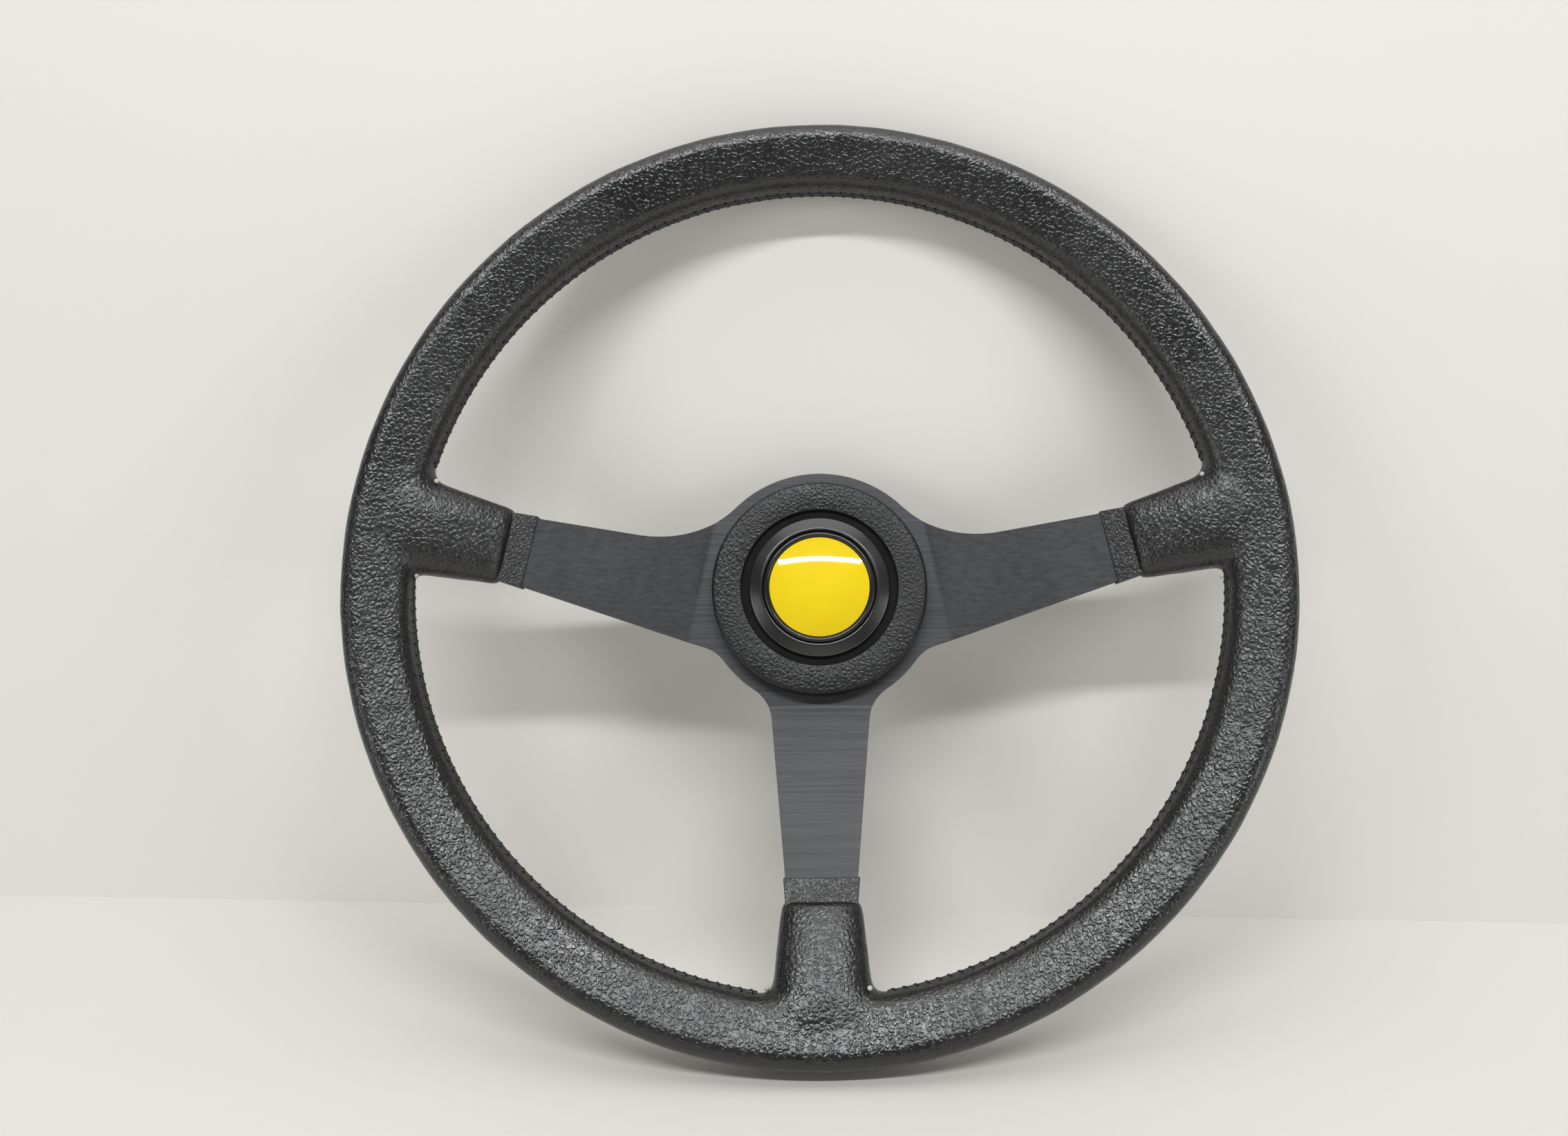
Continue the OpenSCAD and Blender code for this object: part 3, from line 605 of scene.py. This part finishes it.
COVER_OUT, LEDGE_OUT, COVER_IN = 45.25, 32.9, 26.2  # radii of the ring, its ledge and its bore
COVER_FRONT, LEDGE_FRONT, COVER_REAR = 12.0, 9.8, 4.0  # heights
COVER_WALL = 1.8
COVER_ROUND, LIP_ROUND, LEDGE_ROUND = 1.7, 0.6, 0.3
cover_outline = [
    (COVER_IN, COVER_REAR),
    (COVER_IN + COVER_WALL, COVER_REAR),
    (COVER_IN + COVER_WALL, LEDGE_FRONT - COVER_WALL),
    (LEDGE_OUT + COVER_WALL, LEDGE_FRONT - COVER_WALL),
    (LEDGE_OUT + COVER_WALL, COVER_FRONT - COVER_WALL),
    (COVER_OUT - COVER_WALL, COVER_FRONT - COVER_WALL),
    (COVER_OUT - COVER_WALL, COVER_REAR),
    (COVER_OUT, COVER_REAR),
]
cover_outline += bend((COVER_OUT - COVER_ROUND, COVER_FRONT - COVER_ROUND), COVER_ROUND, 0, 90)
cover_outline += bend((LEDGE_OUT + LIP_ROUND, COVER_FRONT - LIP_ROUND), LIP_ROUND, 90, 180, 4)
cover_outline += [(LEDGE_OUT, LEDGE_FRONT)]
cover_outline += bend((COVER_IN + LEDGE_ROUND, LEDGE_FRONT - LEDGE_ROUND), LEDGE_ROUND, 90, 180, 3)
cover = turned("cover_ring", cover_outline[::-1])
cover.data.materials.append(leather(
    "moulded grain", (0.007, 0.007, 0.008), 0.38, pebble=1.9, wrinkle=9.0, wrinkles=0.2, depth=0.10, ior=1.45
))
# Painted shade: the ledge left bare round the bezel is darker and less shiny than the ring's own moulding.
shaded_ledge = satin("ledge painted shade", (0.003, 0.003, 0.003), 0.7, pits=1.0, depth=0.01, Specular_IOR_Level=0.2)
cover.data.materials.append(shaded_ledge)
# The faces inside the lip take the painted shade.
for face in cover.data.polygons:
    if math.hypot(face.center.x, face.center.z) < 0.001 * (LEDGE_OUT + LIP_ROUND / 4):
        face.material_index = 1
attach(cover, "wheel")
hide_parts("bolt_cover_ring")


# Horn housing: a black moulded cup with a flange, dropped into the plate from the front.
# Only the flange's rim can be glimpsed under the bezel.
def repaint(cad, material):
    """Gives a CAD node a procedural material and leaves its shape alone."""
    piece = bpy.data.objects[cad]
    piece.data.materials.clear()
    piece.data.materials.append(material)


repaint("horn_housing", satin("moulded housing", (0.012, 0.012, 0.013), 0.45, pits=1.5, depth=0.01))


# Bezel: a turned aluminium ring, painted semi-gloss black, pressed over the housing's flange.
# Its broad cone faces the driver and ends in a slim upright edge.
BEZEL_OUT, SKIRT_IN, BEZEL_IN = 29.5, 28.1, 24.0  # radii
BEZEL_REAR, FLANGE_FRONT = 9.8, 11.35  # heights
outer_edge = [(BEZEL_OUT, 11.7), (29.42, 11.92), (29.2, 12.14), (28.9, 12.25)]
inner_edge = [(25.1, 13.3), (24.8, 13.4), (24.4, 13.38), (24.1, 13.2), (BEZEL_IN, 12.9)]
under = [(BEZEL_IN, FLANGE_FRONT), (SKIRT_IN, FLANGE_FRONT), (SKIRT_IN, BEZEL_REAR)]
bezel = turned("bezel", ([(BEZEL_OUT, BEZEL_REAR)] + outer_edge + inner_edge + under)[::-1])
bezel.data.materials.append(
    satin("semi-gloss bezel", (0.005, 0.005, 0.006), 0.22, pits=0.8, depth=0.006, IOR=1.7)
)
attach(bezel, "wheel")
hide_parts("horn_bezel")


# Horn cap: glossy black moulding that the thumb presses, with a round bead about the emblem.
# It slides in the housing, so it and what it carries ride on the button.
PIN = 0.02  # radius at which the middle of a turned disc is closed
CAP_OUT, CAP_IN = 24.5, 23.0
CAP_REAR, WEB_REAR, CAP_SHOULDER, SEAT = 4.2, 10.4, 11.2, 11.9
BEAD_MID, BEAD_R, BEAD_STOP = (22.4, 11.6), 1.3, 166
cap_outline = [(PIN, WEB_REAR), (CAP_IN, WEB_REAR), (CAP_IN, CAP_REAR), (CAP_OUT, CAP_REAR)]
cap_outline += [(CAP_OUT, CAP_SHOULDER), (BEAD_MID[0] + BEAD_R, CAP_SHOULDER)]
cap_outline += bend(BEAD_MID, BEAD_R, 0, BEAD_STOP, 14) + [(21.12, SEAT), (PIN, SEAT)]
cap = turned("cap", cap_outline)
cap.data.materials.append(satin("glossy cap", (0.012, 0.012, 0.013), 0.16, pits=0.5, depth=0.004))
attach(cap, "horn_button")
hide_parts("horn_cap")


# Emblem: a plain yellow disc, printed and left bare, under a clear cast dome.
# The dome is thick at the middle and thins to a short upright edge.
EMBLEM_R, EMBLEM_T, EMBLEM_EDGE = 21.0, 0.4, 0.1
disc = turned("emblem", [
    (PIN, SEAT),
    (EMBLEM_R - EMBLEM_EDGE, SEAT),
    (EMBLEM_R, SEAT + EMBLEM_EDGE),
    (EMBLEM_R, SEAT + EMBLEM_T - EMBLEM_EDGE),
    (EMBLEM_R - EMBLEM_EDGE, SEAT + EMBLEM_T),
    (PIN, SEAT + EMBLEM_T),
])
disc.data.materials.append(satin(
    "yellow enamel", (0.86, 0.655, 0.008), 0.5, pits=2.0, depth=0.004, amount=0.03, Specular_IOR_Level=0.1
))
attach(disc, "horn_button")
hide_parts("emblem_disc")
DOME_REAR, DOME_TOP = 12.32, 14.85
DOME_HIGH = 2.5  # rise of its curve over its edge
DOME_STEPS = 24
dome_r = (EMBLEM_R ** 2 + DOME_HIGH ** 2) / (2 * DOME_HIGH)
dome_outline = [(PIN, DOME_REAR), (EMBLEM_R - 0.05, DOME_REAR)]
for k in range(DOME_STEPS, -1, -1):
    out = k / DOME_STEPS
    high = DOME_TOP - dome_r + math.sqrt(dome_r ** 2 - (EMBLEM_R * out) ** 2)
    dome_outline.append((PIN + (EMBLEM_R - PIN) * out, high))
dome = turned("dome", dome_outline)
clear = bpy.data.materials.new("clear dome")
clear.use_nodes = True
tree = clear.node_tree
tree.nodes.remove(tree.nodes["Principled BSDF"])
ripple = node(tree, "ShaderNodeTexNoise", {"Vector": on_piece(tree), "Scale": 120.0, "Detail": 1.0})
bump = bumped(tree, ripple.outputs[0], 0.00002)
pass_on = node(tree, "ShaderNodeBsdfTransparent", {"Color": (0.99, 0.985, 0.96, 1)})
shine = node(tree, "ShaderNodeBsdfGlossy", {"Roughness": 0.05, "Normal": bump})
mirrored = node(tree, "ShaderNodeFresnel", {"IOR": 1.5, "Normal": bump})
inside = node(tree, "ShaderNodeNewGeometry").outputs["Backfacing"]
outer = maths(tree, "SUBTRACT", 1.0, inside)
share = maths(tree, "MULTIPLY", mirrored.outputs[0], outer)
both = node(tree, "ShaderNodeMixShader", {0: share, 1: pass_on.outputs[0], 2: shine.outputs[0]})
tree.links.new(both.outputs[0], tree.nodes["Material Output"].inputs["Surface"])
dome.data.materials.append(clear)
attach(dome, "horn_button")
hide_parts("emblem_dome")


# Held inside the rim: a flat steel ring, the rivets that hold the spokes to it, and the foam
# moulded round them. None of it shows, but each piece has its own finish.
steel = satin("zinc-plated steel", (0.55, 0.56, 0.58), 0.35, pits=0.6, depth=0.01, Metallic=1.0)
repaint("rim_core", steel)
repaint("core_rivets", steel)
FOAM_UNDER = 1.3  # how far the foam lies under the leather's face
foam = rim_body("foam", inset=FOAM_UNDER, voxel=0.0022, melting=3)
foam.data.materials.append(satin("polyurethane foam", (0.02, 0.02, 0.02), 0.9, pits=0.8, depth=0.1))
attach(foam, "wheel")
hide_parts("rim_foam")


# Horn contacts: brass rings and blades on an insulating disc, and the brass cup under the cap.
# The split ring that holds the housing behind the plate is spring steel.
brass = satin("brass contact", (0.72, 0.5, 0.16), 0.3, pits=1.2, depth=0.01, Metallic=1.0)
for name in ("contact_ring", "spring_base", "contact_cup"):
    repaint(name, brass)
repaint("insulator_disc", satin("insulating board", (0.09, 0.045, 0.02), 0.55, pits=1.0, depth=0.02))
repaint("retaining_ring", satin("spring steel", (0.35, 0.35, 0.37), 0.4, pits=0.8, depth=0.012, Metallic=1.0))


# Horn spring: a coil of round steel wire that stands on its brass base and pushes the cap forward.
# It fills the room between them.
COIL_R, WIRE_R, COIL_TURNS = 9.0, 0.45, 4
COIL_FOOT, COIL_RISE = 1.6, 7.5  # height of the wire's middle at the first turn, and its rise
WIRE_SIDES, TURN_STEPS = 12, 48
coil_steps = COIL_TURNS * TURN_STEPS
coil = []
for k in range(coil_steps + 1):
    middle = COIL_FOOT + COIL_RISE * k / coil_steps
    ring = [
        (COIL_R + WIRE_R * math.cos(b), middle + WIRE_R * math.sin(b))
        for b in np.linspace(0, 2 * math.pi, WIRE_SIDES + 1)[:-1]
    ]
    coil.append(swept(ring, 2 * math.pi * k / TURN_STEPS))
spring = solid("spring", coil, "caps")
spring.data.materials.append(
    satin("spring wire", (0.6, 0.6, 0.62), 0.25, pits=0.8, depth=0.006, Metallic=1.0)
)
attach(spring, "wheel")
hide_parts("horn_spring")
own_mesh(spring)


# Room: the wheel leans back about 21 degrees, its rim on a pale floor and its top against a pale
# wall. Both boards can be seen through from behind, so that views from there show the wheel.
LEAN = math.radians(21)
WALL_TURN = math.radians(-3.4)
FLOOR, WALL = -0.1647, 0.0397  # places of the two boards, upward and ahead of the hub, in metres
ROOM_HALF, ROOM_HIGH = 3.0, 2.5
UNDERLAP = 0.018  # how far the floor goes on behind the wall
forward = Vector((0, math.cos(LEAN), math.sin(LEAN)))
upward = Vector((0, -math.sin(LEAN), math.cos(LEAN)))
wall_skew = ROOM_HALF * math.tan(WALL_TURN)


def in_room(x, ahead, up):
    """A place in the tilted room: across, towards the wall, and over the hub's middle."""
    return Vector((x, 0, 0)) + forward * ahead + upward * up


def board(name, corners, colour, turn=0.0):
    """A flat board of the room, turned about the hub's upright line, and see-through from behind."""
    mesh = bpy.data.meshes.new(name)
    pivot = Matrix.Rotation(turn, 3, upward)
    foot = in_room(0, WALL, FLOOR)
    mesh.from_pydata([tuple(pivot @ (c - foot) + foot) for c in corners], [], [(0, 1, 2, 3)])
    made = bpy.data.objects.new(name, mesh)
    bpy.context.scene.collection.objects.link(made)
    paint, tree, shader = finish(name + " paint", colour, 0.75, 3.0, 0.015)
    seen = node(tree, "ShaderNodeNewGeometry").outputs["Backfacing"]
    gone = node(tree, "ShaderNodeBsdfTransparent")
    mix = node(tree, "ShaderNodeMixShader", {0: seen, 1: shader.outputs[0], 2: gone.outputs[0]})
    tree.links.new(mix.outputs[0], tree.nodes["Material Output"].inputs["Surface"])
    made.data.materials.append(paint)
    made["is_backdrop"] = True
    return made


board("floor", [
    in_room(-ROOM_HALF, -ROOM_HALF, FLOOR),
    in_room(ROOM_HALF, -ROOM_HALF, FLOOR),
    in_room(ROOM_HALF, WALL + UNDERLAP + wall_skew, FLOOR),
    in_room(-ROOM_HALF, WALL + UNDERLAP - wall_skew, FLOOR),
], (0.715, 0.70, 0.66))
board("wall", [
    in_room(-ROOM_HALF, WALL, FLOOR - 0.01),
    in_room(ROOM_HALF, WALL, FLOOR - 0.01),
    in_room(ROOM_HALF, WALL, ROOM_HIGH),
    in_room(-ROOM_HALF, WALL, ROOM_HIGH),
], (0.72, 0.705, 0.67), WALL_TURN)


# Light: a long narrow strip above and in front, a soft ceiling, a low soft panel at each side, and
# a weak even fill. Every size and place is in the tilted room.
def panel(name, place, size, watts, colour):
    """A soft flat lamp that faces the hub and isn't seen itself."""
    lamp = bpy.data.lights.new(name, "AREA")
    lamp.shape, lamp.size, lamp.size_y = "RECTANGLE", size[0], size[1]
    lamp.energy, lamp.color = watts, colour
    made = bpy.data.objects.new(name, lamp)
    made.location = place
    made.rotation_mode = "QUATERNION"
    made.rotation_quaternion = (-place).to_track_quat("-Z", "Y")
    made.visible_camera = False
    bpy.context.scene.collection.objects.link(made)


panel("strip", in_room(0, -1.2, 1.25), (1.5, 0.08), 19.8, (0.975, 0.99, 1.0))
panel("ceiling", in_room(0, -0.35, 1.6), (1.6, 0.9), 9.3, (1.0, 0.99, 0.97))
for side in (-1, 1):
    panel("side", in_room(1.6 * side, -1.5, 0.3), (0.7, 0.7), 6.2, (0.99, 0.99, 1.0))
world = bpy.data.worlds.new("room")
bpy.context.scene.world = world
world.use_nodes = True
tree = world.node_tree
seen = node(tree, "ShaderNodeLightPath").outputs["Is Camera Ray"]
fill = tree.nodes["Background"]
fill.inputs["Color"].default_value = (0.62, 0.62, 0.6, 1)
fill.inputs["Strength"].default_value = 0.25
pale = node(tree, "ShaderNodeBackground", {"Color": (0.68, 0.67, 0.64, 1), "Strength": 1.0})
mix = node(tree, "ShaderNodeMixShader", {0: seen, 1: fill.outputs[0], 2: pale.outputs[0]})
tree.links.new(mix.outputs[0], tree.nodes["World Output"].inputs["Surface"])


# Camera: held by hand in front of the wheel, a little below its axis in the wheel's own frame.
camera = bpy.data.cameras.new("camera")
camera.sensor_width, camera.lens = 36.0, 32.2
camera.shift_x, camera.shift_y = -0.0223, 0.005
camera.clip_start, camera.clip_end = 0.01, 50
eye = bpy.data.objects.new("camera", camera)
bpy.context.scene.collection.objects.link(eye)
look = Vector((-0.0054, 0.9864, 0.1643)).normalized()
roll = Matrix.Rotation(math.radians(-0.46), 3, "Z").to_quaternion()
eye.location = (0.003, -0.592, -0.092)
eye.rotation_mode = "QUATERNION"
eye.rotation_quaternion = look.to_track_quat("-Z", "Y") @ roll
bpy.context.scene.camera = eye
bpy.context.scene.view_settings.view_transform = "Standard"

low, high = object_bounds()
